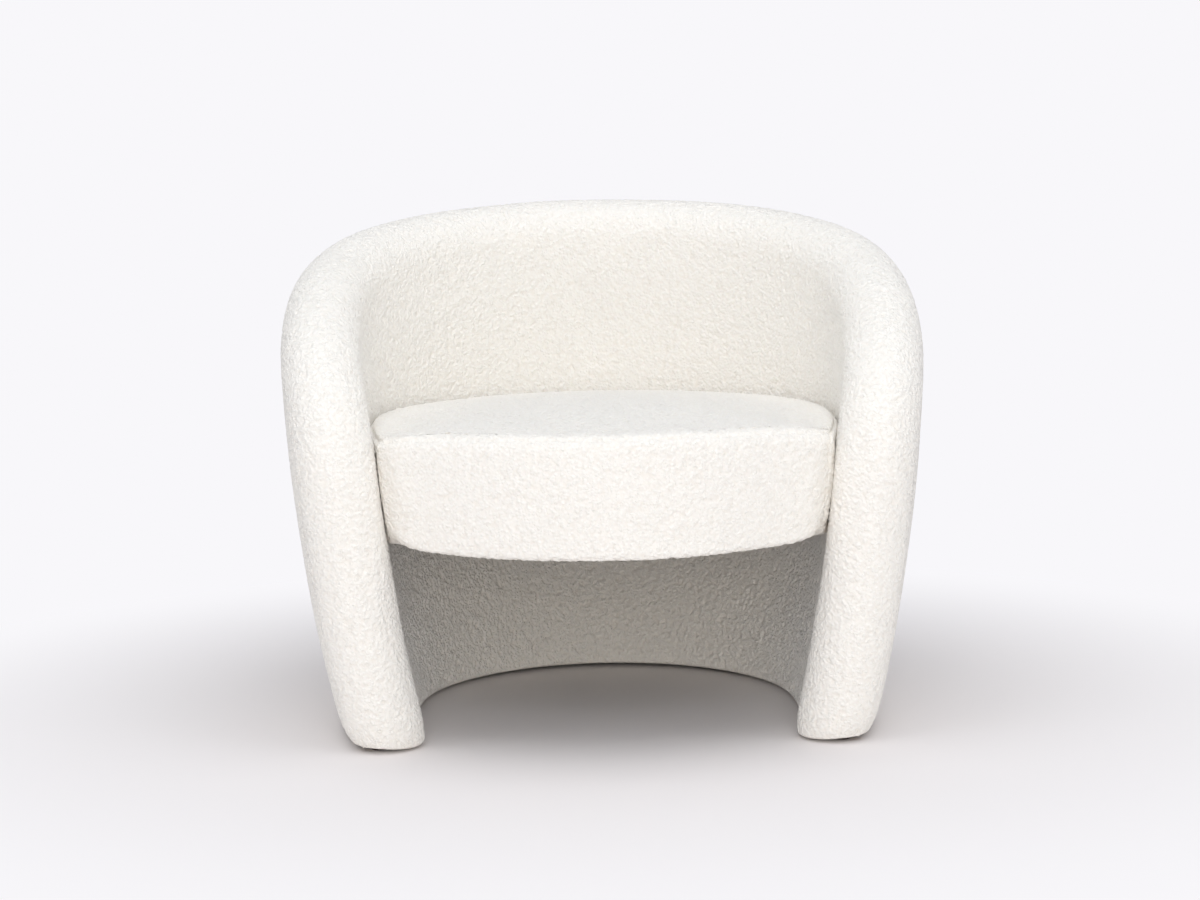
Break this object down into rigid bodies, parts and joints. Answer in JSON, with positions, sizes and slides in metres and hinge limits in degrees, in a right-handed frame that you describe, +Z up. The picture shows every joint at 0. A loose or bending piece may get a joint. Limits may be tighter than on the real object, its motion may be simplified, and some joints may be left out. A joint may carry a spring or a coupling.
{
  "type": "tub chair",
  "caption": "Low tub chair in cream boucle: a thick flared wall runs to the floor round the back and both sides, with a bowed D-shaped seat hung between the arms over an open space.",
  "frame": {"origin": "middle of the bounding box in plan, on the floor under the glides", "axes": "+Z up; the open front faces -Y; +X is on the sitter's left"},
  "size_m": [0.842, 0.753, 0.69],
  "materials": {
    "boucle": "looped wool boucle, cream",
    "foam": "open cell polyurethane foam",
    "dust_cloth": "black non-woven",
    "glide_plastic": "matt",
    "screw_steel": "zinc plated",
    "webbing": "elastic upholstery webbing",
    "bent_ply": "bare bending plywood",
    "plywood": "bare birch plywood",
    "rail_wood": "bare beech"
  },
  "bodies": {
    "root": {"back_rail": "rail_wood", "base_dust_cover": "dust_cloth", "base_ring": "plywood", "cross_strap_1": "webbing", "cross_strap_2": "webbing", "cross_strap_3": "webbing", "cross_strap_4": "webbing", "former_1": "plywood", "former_2": "plywood", "former_3": "plywood", "former_4": "plywood", "former_5": "plywood", "former_6": "plywood", "former_7": "plywood", "former_8": "plywood", "former_9": "plywood", "glide_1": "glide_plastic", "glide_2": "glide_plastic", "glide_3": "glide_plastic", "glide_4": "glide_plastic", "glide_5": "glide_plastic", "glide_6": "glide_plastic", "inside_foam": "foam", "inside_skin": "bent_ply", "left_arm_rail": "rail_wood", "left_post": "rail_wood", "long_strap_1": "webbing", "long_strap_2": "webbing", "long_strap_3": "webbing", "long_strap_4": "webbing", "long_strap_5": "webbing", "lower_cover": "boucle", "lower_foam": "foam", "lower_skin": "bent_ply", "outside_cover": "boucle", "outside_foam": "foam", "outside_skin": "bent_ply", "right_arm_rail": "rail_wood", "right_post": "rail_wood", "seat_cover": "boucle", "seat_dust_cover": "dust_cloth", "seat_foam": "foam", "seat_front_rail": "rail_wood", "seat_platform": "plywood", "seat_screw_1": "screw_steel", "seat_screw_2": "screw_steel", "seat_screw_3": "screw_steel", "seat_screw_4": "screw_steel", "seat_screw_5": "screw_steel", "seat_screw_6": "screw_steel", "seat_side_rail": "rail_wood", "shelf_ring": "plywood", "wall_cover": "boucle"}
  },
  "joints": []
}
